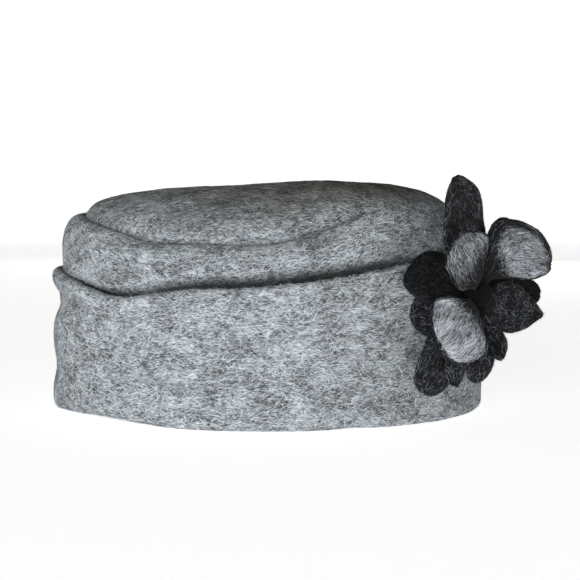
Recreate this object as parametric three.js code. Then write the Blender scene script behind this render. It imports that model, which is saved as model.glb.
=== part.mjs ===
// A wet-felted wool hat in millimetres, +Z up. The cap is one piece of felt: a soft crown with a deep cuff
// turned up outside it. A felt flower of loose petals is sewn to the cuff, right of the front, which looks along -Y.

import * as THREE from "three";

const radians = THREE.MathUtils.degToRad;

// Sizes of the cap. The opening is what a head goes into, measured inside the felt.
const openingLength = 200;
const openingWidth = 160;
const feltWall = 3;
const foldAir = 1.4; // between the cuff and the wall behind it, at the hem
const cuffHeight = 62;
const crownHeight = 112;
const waistReach = 0.06; // how far up the shoulder the waist is felt, as a share of it
const creaseDepth = 4.5; // of the soft crease across the front of the crown
const creaseWidth = 10;
const crownLean = 28; // how far the top of the crown leans to the right
const restFlat = 0.25; // how much of the hem is pressed flat by lying on a table

// Sizes of the flower.
const petalLength = 50;
const petalWidth = 32;
const petalFelt = 2.4;
const petalRoot = 4.6; // width of a petal where it is sewn on
const petalBelly = 0.55; // where along its length a petal is widest
const petalBlunt = 0.1; // width of its very end, as a share of its widest
const petalTwist = 0.4; // how far along it the petal has turned to its full roll
const flowerTurn = 48; // from the front of the hat to its right side, in degrees
const flowerTilt = 8; // up from level, in degrees
const flowerHeight = 57; // of its middle above the table
const footRadius = 5.5; // of the felt stub that the petals are sewn round
const footFlange = 10;
const footFlangeThick = 2.2;
const seat = 0.35; // air between two pieces that lie together
const footLayers = 5; // of felt that the stub stands through
const footCrown = 0.8; // how far its rounded end stands past the last of them

// How finely the felt is drawn.
const turns = 52; // steps round the cap
const cuffSteps = 6;
const foldSteps = 4;
const wallSteps = 4;
const shoulderSteps = 4; // from the cuff's edge to the crease
const domeSteps = 6; // from the crease to the middle of the top
const petalSteps = 9;
const petalLanes = 6;

const footLength = footFlangeThick + footLayers * (petalFelt + seat) + footCrown;
const foldRadius = (feltWall + foldAir) / 2;
const foldCentre = foldRadius + feltWall / 2 - restFlat;
const outLength = openingLength / 2 + 2 * feltWall + foldAir - feltWall / 2;
const outWidth = openingWidth / 2 + 2 * feltWall + foldAir - feltWall / 2;

// Rows of a table, each with the columns' names.
function table(columns, ...rows) {
  return rows.map((row) => Object.fromEntries(columns.map((column, i) => [column, row[i]])));
}

// The hang of the cap, a row for each direction seen from above: 0 is the right of the front view, 90 the back,
// 180 the left and 270 the front.
// edge: height of the cuff's edge, as a share of cuffHeight
// flare: how far that edge stands out, as a share of feltWall
// neck: how far the crown draws in at the edge, as a share of openingWidth
// waist: the hollow just there, as a share of feltWall
// square: 2 is a round shoulder and 4 a boxy one
// low: how far the top sinks towards this side, as a share of crownHeight
// lift: how far the soft hem stands off the table, as a share of feltWall; below 0 it lies flat
const hang = table(
  ["at", "edge", "flare", "neck", "waist", "square", "low", "lift"],
  [0, 1.15, 0.1, 0.07, 0.2, 3.8, 0.02, -0.2],
  [45, 1.1, 0.1, 0.07, 0.3, 3.2, 0.045, 0.25],
  [90, 1.06, 0.2, 0.035, 0.4, 3.4, 0.045, -0.4],
  [135, 1.06, 0.25, 0.028, 0.3, 4.0, 0.06, 0.25],
  [180, 1.07, 0.3, 0.03, 0.2, 5.0, 0.048, -0.15],
  [207, 1.01, 0.35, 0.034, 0.1, 3.4, 0.045, 0.7],
  [230, 0.91, 0.3, 0.036, 0.3, 2.5, 0.02, 0.75],
  [250, 0.98, 0.3, 0.04, 1.1, 2.15, 0.0, 0.05],
  [270, 1.01, 0.25, 0.042, 1.2, 2.15, 0.0, -0.25],
  [290, 1.08, 0.15, 0.044, 0.9, 2.7, 0.0, 0.25],
  [310, 1.17, 0.05, 0.052, 0.3, 3.5, 0.02, -0.15],
  [335, 1.18, 0.05, 0.066, 0.2, 3.8, 0.03, -0.2],
);

// The crease across the crown. along: how far up the shoulder it runs, as a share of a quarter turn.
// deep: as a share of creaseDepth.
const crease = table(
  ["at", "along", "deep"],
  [0, 0.45, 0],
  [90, 0.47, 0],
  [130, 0.48, 0],
  [160, 0.47, 0.7],
  [185, 0.45, 1],
  [215, 0.4, 1],
  [240, 0.33, 0.85],
  [270, 0.3, 0.75],
  [290, 0.37, 0.5],
  [308, 0.44, 0],
);

// Soft dents in the cuff and in the wall behind it. up, tall: shares of cuffHeight; deep: a share of feltWall.
const dents = table(
  ["at", "up", "wide", "tall", "deep"],
  [180, 0.84, 30, 0.12, 1.3],
  [178, 0.29, 34, 0.17, 0.7],
  [232, 0.62, 16, 0.3, 0.5],
  [262, 0.4, 14, 0.35, 0.35],
  [128, 0.55, 20, 0.3, 0.6],
  [78, 0.45, 18, 0.35, 0.7],
  [35, 0.5, 16, 0.3, 0.5],
);

// Reads one column of a table with an "at" column round the hat, as a smooth curve with no seam.
function around(rows, column) {
  const count = rows.length;
  const row = (i) => rows[((i % count) + count) % count];
  const angle = (i) => row(i).at + 360 * Math.floor(i / count);
  const slope = (i) => (row(i + 1)[column] - row(i - 1)[column]) / (angle(i + 1) - angle(i - 1));
  return (degrees) => {
    const at = ((degrees % 360) + 360) % 360;
    let i = count - 1;
    while (i > 0 && rows[i].at > at) i -= 1;
    const step = angle(i + 1) - angle(i);
    const s = (at - angle(i)) / step;
    const [a, b] = [row(i)[column], row(i + 1)[column]];
    return (
      a * (1 + 2 * s) * (1 - s) ** 2 +
      slope(i) * step * s * (1 - s) ** 2 +
      b * s * s * (3 - 2 * s) -
      slope(i + 1) * step * s * s * (1 - s)
    );
  };
}

const edgeAt = around(hang, "edge");
const flareAt = around(hang, "flare");
const neckAt = around(hang, "neck");
const waistAt = around(hang, "waist");
const squareAt = around(hang, "square");
const lowAt = around(hang, "low");
const liftAt = around(hang, "lift");
const creaseAlong = around(crease, "along");
const creaseDeep = around(crease, "deep");

// A point of the oval, moved in by inset square to it.
function ovalPoint(degrees, inset, height) {
  const [c, s] = [Math.cos(radians(degrees)), Math.sin(radians(degrees))];
  const out = new THREE.Vector2(c / outLength, s / outWidth).normalize();
  return new THREE.Vector3(outLength * c - out.x * inset, outWidth * s - out.y * inset, height);
}

function dentAt(degrees, height) {
  let inset = 0;
  for (const dent of dents) {
    const side = (((degrees - dent.at + 540) % 360) - 180) / dent.wide;
    const rise = (height / cuffHeight - dent.up) / dent.tall;
    inset += dent.deep * feltWall * Math.exp(-side * side - rise * rise);
  }
  return inset;
}

// Dents, flares and the waist all fade out towards the hem, which stays a plain oval.
const fade = (share) => Math.min(1, share * 4) ** 2;

// Height of the middle of the fold at the hem.
const hemAt = (degrees) => foldCentre + Math.max(liftAt(degrees), 0) * feltWall;

// Middle of the cuff's felt. share is 0 at the hem and 1 at the edge.
function cuffPoint(degrees, share) {
  const height = THREE.MathUtils.lerp(hemAt(degrees), edgeAt(degrees) * cuffHeight, share);
  const flare = flareAt(degrees) * feltWall * share ** 6;
  return ovalPoint(degrees, dentAt(degrees, height) * fade(share) - flare, height);
}

// Middle of the wall behind the cuff. share is 0 at the hem and 1 where the crown comes out of the cuff.
function wallPoint(degrees, share) {
  const neck = neckAt(degrees) * openingWidth;
  const height = THREE.MathUtils.lerp(hemAt(degrees), edgeAt(degrees) * cuffHeight, share);
  const inset = THREE.MathUtils.lerp(2 * foldRadius, neck + waistAt(degrees) * feltWall, share ** 2);
  const dent = dentAt(degrees, height) * fade(share) * (1 - share ** 4);
  return ovalPoint(degrees, inset + dent, height);
}

// Middle of the crown's felt. share is 0 at the cuff's edge and 1 in the middle of the top. groove is how far
// this station lies in the crease, from 0 to 1.
function crownPoint(degrees, share, groove) {
  const bottom = edgeAt(degrees) * cuffHeight;
  const neck = neckAt(degrees) * openingWidth;
  const rim = ovalPoint(degrees, neck, 0);
  const power = squareAt(degrees);
  const turn = radians(90 * share);
  const reach = (Math.cos(turn) ** power + Math.sin(turn) ** power) ** (1 / power);
  const out = Math.cos(turn) / reach;
  const up = Math.sin(turn) / reach;
  const top = crownHeight - feltWall / 2 - lowAt(degrees) * crownHeight * out;
  const waist = waistAt(degrees) * feltWall * Math.exp(-share / waistReach);
  const point = new THREE.Vector3(rim.x * out + crownLean * (1 - out), rim.y * out, bottom + (top - bottom) * up);
  const slopeOut = out ** (power - 1) / rim.length();
  const slopeUp = up ** (power - 1) / (top - bottom);
  const size = Math.hypot(slopeOut, slopeUp);
  const sink = groove * creaseDeep(degrees) * creaseDepth;
  const inward = (sink * slopeOut) / size + waist;
  point.x -= (inward * rim.x) / rim.length();
  point.y -= (inward * rim.y) / rim.length();
  point.z -= (sink * slopeUp) / size;
  return point;
}

// Half the crease's width as a share of the shoulder, which is about as long as half the opening is wide.
const creaseHalf = creaseWidth / 2 / (openingWidth / 2);

// The stations of one section of the cap, from the cuff's raw edge down to the hem, up inside and over the crown.
function capSection(degrees) {
  const section = [];
  for (let i = cuffSteps; i > 0; i -= 1) section.push(cuffPoint(degrees, i / cuffSteps));
  for (let i = 0; i < foldSteps; i += 1) {
    const bend = radians((180 * (i + 0.5)) / foldSteps);
    const inset = foldRadius * (1 - Math.cos(bend));
    section.push(ovalPoint(degrees, inset, hemAt(degrees) - foldRadius * Math.sin(bend)));
  }
  for (let i = 1; i <= wallSteps; i += 1) section.push(wallPoint(degrees, i / wallSteps));
  const along = creaseAlong(degrees);
  for (let i = 1; i < shoulderSteps; i += 1) {
    section.push(crownPoint(degrees, ((along - creaseHalf) * i) / (shoulderSteps - 1), 0));
  }
  section.push(crownPoint(degrees, along, 1));
  const beyond = along + creaseHalf;
  for (let i = 0; i < domeSteps; i += 1) {
    section.push(crownPoint(degrees, THREE.MathUtils.lerp(beyond, 1, i / domeSteps), 0));
  }
  return section;
}

// Turns a grid of points in the middle of a sheet of felt into a closed solid of that thickness. rows[i][j] runs
// on to the left of the face that points out. With ring set the rows close on themselves, and with pole set the
// last row shrinks to that point.
function feltSolid(rows, thickness, { ring = false, pole = null, floor = -Infinity } = {}) {
  const [high, wide] = [rows.length, rows[0].length];
  const column = (j) => (ring ? (j + wide) % wide : THREE.MathUtils.clamp(j, 0, wide - 1));
  const normals = rows.map((row, i) =>
    row.map((_, j) => {
      const next = i + 1 < high ? rows[i + 1][j] : pole || row[j];
      const forward = new THREE.Vector3().subVectors(next, rows[Math.max(i - 1, 0)][j]);
      const across = new THREE.Vector3().subVectors(row[column(j + 1)], row[column(j - 1)]);
      return across.cross(forward).normalize();
    }),
  );
  const points = [];
  for (const side of [0.5, -0.5]) {
    rows.forEach((row, i) =>
      row.forEach((point, j) => points.push(point.clone().addScaledVector(normals[i][j], side * thickness))),
    );
    if (pole) points.push(pole.clone().add(new THREE.Vector3(0, 0, side * thickness)));
  }
  const layer = points.length / 2;
  const at = (side, i, j) => side * layer + i * wide + column(j);
  const faces = [];
  const quad = (a, b, c, d) => faces.push(a, b, c, a, c, d);
  const lanes = ring ? wide : wide - 1;
  for (let i = 0; i + 1 < high; i += 1) {
    for (let j = 0; j < lanes; j += 1) {
      quad(at(0, i, j), at(0, i, j + 1), at(0, i + 1, j + 1), at(0, i + 1, j));
      quad(at(1, i, j), at(1, i + 1, j), at(1, i + 1, j + 1), at(1, i, j + 1));
    }
  }
  for (let j = 0; j < lanes; j += 1) {
    quad(at(1, 0, j), at(1, 0, j + 1), at(0, 0, j + 1), at(0, 0, j));
    if (pole) {
      faces.push(at(0, high - 1, j), at(0, high - 1, j + 1), layer - 1);
      faces.push(at(1, high - 1, j + 1), at(1, high - 1, j), 2 * layer - 1);
    } else {
      quad(at(0, high - 1, j), at(0, high - 1, j + 1), at(1, high - 1, j + 1), at(1, high - 1, j));
    }
  }
  if (!ring) {
    for (let i = 0; i + 1 < high; i += 1) {
      const last = wide - 1;
      quad(at(1, i, 0), at(0, i, 0), at(0, i + 1, 0), at(1, i + 1, 0));
      quad(at(0, i, last), at(1, i, last), at(1, i + 1, last), at(0, i + 1, last));
    }
  }
  const geometry = new THREE.BufferGeometry();
  const flat = points.flatMap((p) => [p.x, p.y, Math.max(p.z, floor)]);
  geometry.setAttribute("position", new THREE.Float32BufferAttribute(flat, 3));
  geometry.setIndex(faces);
  geometry.computeVertexNormals();
  return geometry;
}

// The cap, section by section round the oval.
function capGeometry() {
  const sections = [];
  for (let j = 0; j < turns; j += 1) sections.push(capSection((360 * j) / turns));
  const rows = sections[0].map((_, i) => sections.map((section) => section[i]));
  const pole = new THREE.Vector3(crownLean, 0, crownHeight - feltWall / 2);
  return feltSolid(rows, feltWall, { ring: true, pole, floor: 0 });
}

// The petals, a row each, seen from in front of the flower.
// turn: direction in which it leaves the stub, 0 right and 90 up, in degrees
// bow: how far that direction swings anticlockwise along the petal, in degrees
// level: how many layers of felt lie between it and the flange
// start: where its root is, as a share of footRadius out from the middle of the stub
// long, wide: shares of petalLength and petalWidth
// rise, fall: how steeply it leaves and ends, in degrees out from the plane of the flower
// curl: how far its edges turn towards the front, in degrees
// roll: how far its left edge turns towards the front, in degrees, looking outward along it
// point: 0 is a round end and 1 a pointed one
// pale: 1 for a pale grey petal and 0 for a charcoal one
const petals = table(
  ["name", "turn", "bow", "level", "start", "long", "wide", "rise", "fall", "curl", "roll", "point", "pale"],
  ["petal_top", 79, 36, 0, 1, 1.02, 1.2, 6, 8, 4, 1, 0.58, 0],
  ["petal_back_upper_right", 42, 4, 1, 1.03, 0.89, 0.55, 10, -1, 2, -2, 0.2, 0],
  ["petal_back_right", 2, -10, 0, 1, 0.98, 0.55, 3, 16, 0, -1, 0, 0],
  ["petal_back_lower_right", -67, -8, 1, 1.07, 0.55, 0.4, 20, 9, 20, 20, 0.21, 0],
  ["petal_back_bottom", -69, -17, 0, 1, 0.74, 0.63, 5, -16, 1, 16, 0.02, 0],
  ["petal_lower_left", -132, 18, 1, 1, 0.93, 0.91, 0, -26, -2, 0, 0, 0],
  ["petal_back_left", -155, -42, 0, 1, 0.62, 0.67, 3, -23, -12, -8, 0, 0],
  ["petal_left", 151, 38, 1, 1, 0.74, 0.8, 8, -29, 2, -4, 0.46, 0],
  ["petal_right", -15, 0, 2, 1, 0.87, 0.77, 0, 19, -15, 7, 0.83, 0],
  ["petal_lower_fold", -127, 20, 2, 1, 0.79, 0.49, 4, -8, -19, 2, 0.25, 0],
  ["petal_upper_right", 59, -103, 3, 1, 1.19, 0.95, 6, 9, 0, -10, 0.09, 1],
  ["petal_bottom", -141, -6, 3, 1.03, 0.64, 1.07, 13, -22, -2, 18, 0.04, 1],
  ["petal_middle", 131, -20, 4, 1, 0.54, 1.09, 13, -6, 3, -4, 0.41, 1],
);

// Width of a petal along its length, as a share of its widest. It leaves the stub narrow and swells to its belly.
function petalSwell(share, point) {
  const open = Math.sin((Math.PI / 2) * Math.min(1, share / petalBelly)) ** 0.9;
  const end = Math.max(0, (share - petalBelly) / (1 - petalBelly));
  const close = (1 - end ** THREE.MathUtils.lerp(2.6, 1.4, point)) ** THREE.MathUtils.lerp(0.5, 1, point);
  return Math.max(open * close, petalBlunt);
}

// Middle surface of a petal in the flower's own frame: x to its right, y up and z out from the hat.
function petalGeometry(petal) {
  const half = (petal.wide * petalWidth) / 2;
  const front = new THREE.Vector3(0, 0, 1);
  const spine = new THREE.Vector3(1, 0, 0).applyAxisAngle(front, radians(petal.turn));
  spine.multiplyScalar(petal.start * footRadius + seat);
  spine.z = footFlangeThick + (petal.level + 0.5) * petalFelt + (petal.level + 1) * seat;
  const rows = [];
  for (let i = 0; i <= petalSteps; i += 1) {
    const share = i / petalSteps;
    const heading = radians(petal.turn + petal.bow * share);
    const outward = new THREE.Vector3(Math.cos(heading), Math.sin(heading), 0);
    const side = new THREE.Vector3().crossVectors(front, outward);
    const slope = radians(THREE.MathUtils.lerp(petal.rise, petal.fall, share));
    const along = outward.clone().multiplyScalar(Math.cos(slope)).addScaledVector(front, Math.sin(slope));
    if (i > 0) spine.addScaledVector(along, (petal.long * petalLength) / petalSteps);
    side.applyAxisAngle(along, radians(petal.roll) * Math.min(1, share / petalTwist));
    const facing = new THREE.Vector3().crossVectors(along, side).normalize();
    const width = Math.max((petalRoot / 2) * (1 - share), half * petalSwell(share, petal.point));
    const curl = radians(petal.curl) * Math.sin((Math.PI / 2) * Math.min(1, 2 * share)) || 1e-6;
    const row = [];
    for (let j = 0; j <= petalLanes; j += 1) {
      const bend = curl * ((2 * j) / petalLanes - 1);
      const across = (width * Math.sin(bend)) / curl;
      const lift = (width * (1 - Math.cos(bend))) / curl;
      row.push(spine.clone().addScaledVector(side, across).addScaledVector(facing, lift));
    }
    rows.push(row);
  }
  return feltSolid(rows, petalFelt);
}

// The stub of felt that the petals are sewn round, with a flange against the cuff and a rounded end.
function footGeometry() {
  const outline = [
    [0, 0],
    [footFlange, 0],
    [footFlange, footFlangeThick / 2],
    [footFlange - footFlangeThick / 2, footFlangeThick],
    [footRadius, footFlangeThick],
    [footRadius, footLength - 2 * footCrown],
    [footRadius * 0.7, footLength - footCrown / 2],
    [0, footLength],
  ];
  const lathe = new THREE.LatheGeometry(outline.map(([radius, height]) => new THREE.Vector2(radius, height)), 16);
  lathe.rotateX(Math.PI / 2);
  return lathe;
}

const paleFelt = { color: 0x9b9da0, roughness: 0.95, metalness: 0 };
const darkFelt = { color: 0x2b2d31, roughness: 0.95, metalness: 0 };
const capFelt = { color: 0x8c8f92, roughness: 0.95, metalness: 0 };

function piece(name, geometry, felt) {
  const mesh = new THREE.Mesh(geometry, new THREE.MeshStandardMaterial(felt));
  mesh.name = name;
  return mesh;
}

const hat = new THREE.Group();
hat.add(piece("cap", capGeometry(), capFelt));

// The flower stands on the cuff where the oval faces the way that the flower does.
const flower = new THREE.Group();
const away = new THREE.Vector2(Math.sin(radians(flowerTurn)), -Math.cos(radians(flowerTurn)));
const flowerAngle = THREE.MathUtils.radToDeg(Math.atan2(away.y * outWidth, away.x * outLength));
const flowerHem = hemAt(flowerAngle);
const flowerShare = (flowerHeight - flowerHem) / (edgeAt(flowerAngle) * cuffHeight - flowerHem);
const facing = new THREE.Vector3(away.x, away.y, 0).multiplyScalar(Math.cos(radians(flowerTilt)));
facing.z = Math.sin(radians(flowerTilt));
const stand = feltWall / 2 + seat + footFlange * Math.sin(radians(flowerTilt));
flower.position.copy(cuffPoint(flowerAngle, flowerShare)).addScaledVector(facing, stand);
const rightHand = new THREE.Vector3(-away.y, away.x, 0);
const upHand = new THREE.Vector3().crossVectors(facing, rightHand);
flower.quaternion.setFromRotationMatrix(new THREE.Matrix4().makeBasis(rightHand, upHand, facing));
flower.add(piece("flower_foot", footGeometry(), darkFelt));
for (const petal of petals) {
  flower.add(piece(petal.name, petalGeometry(petal), petal.pale ? paleFelt : darkFelt));
}
hat.add(flower);

// The origin is at the middle of the underside of the whole hat.
const bounds = new THREE.Box3().setFromObject(hat, true);
hat.position.set(-(bounds.min.x + bounds.max.x) / 2, -(bounds.min.y + bounds.max.y) / 2, -bounds.min.z);

export default hat;
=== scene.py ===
import math

import bpy
import numpy as np
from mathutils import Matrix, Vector, noise


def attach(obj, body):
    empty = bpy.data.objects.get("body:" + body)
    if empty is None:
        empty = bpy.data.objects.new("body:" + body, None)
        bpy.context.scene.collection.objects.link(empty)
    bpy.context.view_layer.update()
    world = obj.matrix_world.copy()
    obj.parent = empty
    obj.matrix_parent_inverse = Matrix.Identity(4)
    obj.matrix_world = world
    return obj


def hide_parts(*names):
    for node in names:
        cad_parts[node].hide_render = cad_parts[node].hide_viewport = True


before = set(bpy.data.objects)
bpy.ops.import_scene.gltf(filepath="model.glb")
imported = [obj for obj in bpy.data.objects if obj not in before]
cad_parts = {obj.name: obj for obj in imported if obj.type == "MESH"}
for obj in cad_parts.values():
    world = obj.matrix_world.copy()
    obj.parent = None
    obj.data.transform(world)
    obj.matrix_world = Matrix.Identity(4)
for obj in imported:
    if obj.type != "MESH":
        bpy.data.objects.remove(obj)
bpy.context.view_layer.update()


# The cap.
# One piece of wet-felted wool, 3 mm thick: a puffed crown, and a deep cuff that is turned up outside it and folds
# at the hem. Nothing is sewn. The crease and the dents are where the soft felt has been handled.
mm = 0.001
opening_length = 200 * mm
opening_width = 160 * mm
felt = 3 * mm
fold_air = 1.4 * mm
rest_flat = 0.25 * mm
cuff_height = 62 * mm
crown_height = 112 * mm
crown_lean = 28 * mm
waist_reach = 0.06
crease_depth = 7 * mm
fold_radius = (felt + fold_air) / 2
fold_centre = fold_radius + felt / 2 - rest_flat
out_length = opening_length / 2 + 2 * felt + fold_air - felt / 2
out_width = opening_width / 2 + 2 * felt + fold_air - felt / 2

# Where the middle of the head opening lies in the frame.
middle = Vector((-15.735 * mm, 0.09 * mm, -0.032 * mm))

# A row for each direction from above: 0 right, 90 back, 180 left, 270 front. The lengths are shares of cuff_height
# (edge), of opening_width (neck), of crown_height (low) and of felt (flare, waist, lift, lip, tuck).
hang_columns = ("at", "edge", "flare", "neck", "waist", "square", "low", "lift", "lip", "tuck")
hang = [
    (0, 1.15, 0.1, 0.07, 0.2, 3.8, 0.02, -0.2, 0.15, 0.6),
    (45, 1.1, 0.1, 0.07, 0.3, 3.2, 0.045, 0.25, 0.15, 0.6),
    (90, 1.06, 0.2, 0.035, 0.4, 3.4, 0.045, -0.4, 0.2, 0.6),
    (135, 1.06, 0.0, 0.028, 0.3, 4.0, 0.06, 0.25, 0.4, 0.4),
    (180, 1.07, -0.5, 0.03, 0.2, 5.0, 0.048, -0.15, 0.9, 0.0),
    (207, 1.01, -0.2, 0.034, 0.1, 3.4, 0.045, 0.7, 0.9, 0.1),
    (230, 0.91, 0.2, 0.036, 0.3, 2.5, 0.02, 0.75, 0.5, 0.9),
    (250, 0.98, 0.3, 0.04, 1.1, 2.15, 0.0, 0.05, 0.2, 1.7),
    (270, 1.01, 0.25, 0.042, 1.2, 2.15, 0.0, -0.25, 0.15, 1.9),
    (290, 1.08, 0.15, 0.044, 0.9, 2.7, 0.0, 0.25, 0.1, 1.2),
    (310, 1.17, 0.05, 0.052, 0.3, 3.5, 0.02, -0.15, 0.1, 0.5),
    (335, 1.18, 0.05, 0.066, 0.2, 3.8, 0.03, -0.2, 0.1, 0.4),
]

# The crease across the crown: how far up the shoulder it runs, and its share of crease_depth.
crease_columns = ("at", "along", "deep")
crease = [
    (0, 0.45, 0),
    (90, 0.47, 0),
    (130, 0.48, 0),
    (160, 0.47, 0.7),
    (185, 0.45, 1),
    (215, 0.4, 1),
    (240, 0.33, 0.85),
    (270, 0.3, 0.75),
    (290, 0.37, 0.5),
    (308, 0.44, 0),
]

# Soft dents in the cuff. up and tall are shares of cuff_height, wide is in degrees, deep is a share of felt.
dent_columns = ("at", "up", "wide", "tall", "deep")
dents = [
    (180, 0.84, 30, 0.12, 1.3),
    (178, 0.29, 34, 0.17, 0.7),
    (232, 0.62, 16, 0.3, 0.5),
    (262, 0.4, 14, 0.35, 0.35),
    (128, 0.55, 20, 0.3, 0.6),
    (78, 0.45, 18, 0.35, 0.7),
    (35, 0.5, 16, 0.3, 0.5),
]


def around(rows, columns, column):
    """One column of a table as a smooth curve round the hat, read at any angles in degrees."""
    place = columns.index(column)
    at = np.array([row[0] for row in rows], float)
    value = np.array([row[place] for row in rows], float)
    at3 = np.concatenate([at - 360, at, at + 360])
    value3 = np.tile(value, 3)
    slope3 = np.zeros(len(value3))
    slope3[1:-1] = (value3[2:] - value3[:-2]) / (at3[2:] - at3[:-2])

    def read(degrees):
        degrees = np.mod(degrees, 360)
        i = np.searchsorted(at3, degrees, side="right") - 1
        step = at3[i + 1] - at3[i]
        s = (degrees - at3[i]) / step
        return (
            value3[i] * (1 + 2 * s) * (1 - s) ** 2
            + slope3[i] * step * s * (1 - s) ** 2
            + value3[i + 1] * s * s * (3 - 2 * s)
            - slope3[i + 1] * step * s * s * (1 - s)
        )

    return read


edge_at, flare_at, neck_at, waist_at, square_at, low_at, lift_at, lip_at, tuck_at = (
    around(hang, hang_columns, column) for column in hang_columns[1:]
)
crease_along = around(crease, crease_columns, "along")
crease_deep = around(crease, crease_columns, "deep")


def oval(degrees, inset, height):
    """A ring of points round the hat, moved in from the sheet's widest oval."""
    c, s = np.cos(np.radians(degrees)), np.sin(np.radians(degrees))
    out = np.stack([c / out_length, s / out_width])
    out /= np.hypot(*out)
    return np.stack([out_length * c - out[0] * inset, out_width * s - out[1] * inset, height + 0 * c], -1)


def dent_at(degrees, height):
    """How far the dents push the felt in."""
    inset = 0
    for row in dents:
        dent = dict(zip(dent_columns, row))
        side = (np.mod(degrees - dent["at"] + 540, 360) - 180) / dent["wide"]
        rise = (height / cuff_height - dent["up"]) / dent["tall"]
        inset = inset + dent["deep"] * felt * np.exp(-side * side - rise * rise)
    return inset


hem_share = 0.25


def fade(share):
    """The dents run out towards the hem."""
    return min(1, share / hem_share) ** 2


def hem_at(degrees):
    """Height of the middle of the fold, which lifts off the table in places."""
    return fold_centre + np.maximum(lift_at(degrees), 0) * felt


def cuff_row(degrees, share):
    """A section of the cuff: share is 0 at the hem and 1 at the raw edge, which flares."""
    height = hem_at(degrees) * (1 - share) + edge_at(degrees) * cuff_height * share
    flare = flare_at(degrees) * felt * share**6
    return oval(degrees, dent_at(degrees, height) * fade(share) - flare, height)


def wall_row(degrees, share):
    """A section of the wall behind the cuff: share is 0 at the hem and 1 at the cuff's edge."""
    neck = neck_at(degrees) * opening_width + waist_at(degrees) * felt
    height = hem_at(degrees) * (1 - share) + edge_at(degrees) * cuff_height * share
    inset = 2 * fold_radius * (1 - share**2) + neck * share**2
    return oval(degrees, inset + dent_at(degrees, height) * fade(share) * (1 - share**4), height)


def crown_row(degrees, share):
    """A section of the puffed crown: share is 0 at the cuff's edge and 1 at the top."""
    bottom = edge_at(degrees) * cuff_height
    rim = oval(degrees, neck_at(degrees) * opening_width, 0)
    rim_length = np.hypot(rim[:, 0], rim[:, 1])
    power = square_at(degrees)
    turn = np.radians(90 * share)
    reach = (np.cos(turn) ** power + np.sin(turn) ** power) ** (1 / power)
    out, up = np.cos(turn) / reach, np.sin(turn) / reach
    top = crown_height - felt / 2 - low_at(degrees) * crown_height * out
    waist = waist_at(degrees) * felt * np.exp(-share / waist_reach)
    return np.stack(
        [
            rim[:, 0] * out + crown_lean * (1 - out) - waist * rim[:, 0] / rim_length,
            rim[:, 1] * out - waist * rim[:, 1] / rim_length,
            bottom + (top - bottom) * up,
        ],
        -1,
    )


# Steps of the sections, closer together near the crease, and the sections' directions.
turns = 256
cuff_steps, fold_steps, wall_steps, shoulder_steps, dome_steps, lip_steps = 34, 8, 12, 32, 40, 7
crowding = 1.7
directions = np.arange(turns) * 360 / turns
sheet = [cuff_row(directions, 1 - i / cuff_steps) for i in range(cuff_steps)]
for i in range(fold_steps):
    bend = math.pi * (i + 0.5) / fold_steps
    height = hem_at(directions) - fold_radius * math.sin(bend)
    sheet.append(oval(directions, fold_radius * (1 - math.cos(bend)), height))
sheet += [wall_row(directions, (i + 1) / wall_steps) for i in range(wall_steps)]
along = crease_along(directions)
sheet += [crown_row(directions, along * (1 - (1 - i / shoulder_steps) ** crowding)) for i in range(1, shoulder_steps)]
crease_row = len(sheet)
sheet += [crown_row(directions, along + (1 - along) * (i / dome_steps) ** crowding) for i in range(dome_steps)]
sheet = np.array(sheet)
pole = np.array([crown_lean, 0, crown_height - felt / 2])


def sheet_frame(rows, ring, end=None):
    """Directions across, along and out of a grid of points."""
    if ring:
        across = np.roll(rows, -1, 1) - np.roll(rows, 1, 1)
    else:
        across = np.gradient(rows, axis=1)
    forward = np.gradient(rows, axis=0)
    if end is not None:
        forward[-1] = end - rows[-2]
    out = np.cross(across, forward)
    return [d / np.maximum(np.linalg.norm(d, axis=-1, keepdims=True), 1e-12) for d in (across, forward, out)]


# Above the cuff's edge the crown is tucked in behind it.
wall_row_first = cuff_steps + fold_steps
tuck_rise, tuck_reach = 0.5 * mm, 4.5 * mm
above = (sheet[wall_row_first:, :, 2] - edge_at(directions) * cuff_height - tuck_rise) / tuck_reach
inward = sheet[wall_row_first:, :, :2]
inward = inward / np.linalg.norm(inward, axis=-1, keepdims=True)
tuck = (tuck_at(directions) * felt * np.exp(-(above**2)))[..., None]
sheet[wall_row_first:, :, :2] -= inward * tuck
cap_across, cap_forward, cap_out = sheet_frame(sheet, ring=True, end=pole)

# The sheet swells and sinks softly all over, by less than 1 mm.
small_swell, small_size = 0.3, 11 * mm
broad_swell, broad_size, broad_place = 0.55, 34 * mm, Vector((7, 3, 1))
for i in range(len(sheet)):
    for j in range(turns):
        spot = Vector(sheet[i, j])
        small = noise.noise(spot / small_size)
        broad = noise.noise(spot / broad_size + broad_place)
        sheet[i, j] += cap_out[i, j] * (small_swell * small + broad_swell * broad) * mm

# The felt is a little thicker at its raw edge, which has rolled over on the left.
lip_reach = 5 * mm
path = np.cumsum(np.linalg.norm(np.diff(sheet, axis=0, prepend=sheet[:1]), axis=-1), 0)
thick = felt * (1 + lip_at(directions) * np.exp(-((path / lip_reach) ** 2)))[..., None]
face_in = sheet - cap_out * thick / 2
face_out = sheet + cap_out * thick / 2

# Below the rolled edge the cuff is pinched a little.
pinch_depth, pinch_place, pinch_reach = 1.2 * mm, 7.5 * mm, 2 * mm
pinch = pinch_depth * lip_at(directions) * np.exp(-(((path - pinch_place) / pinch_reach) ** 2))
face_in[:cuff_steps] += (cap_out * pinch[..., None])[:cuff_steps]

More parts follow.
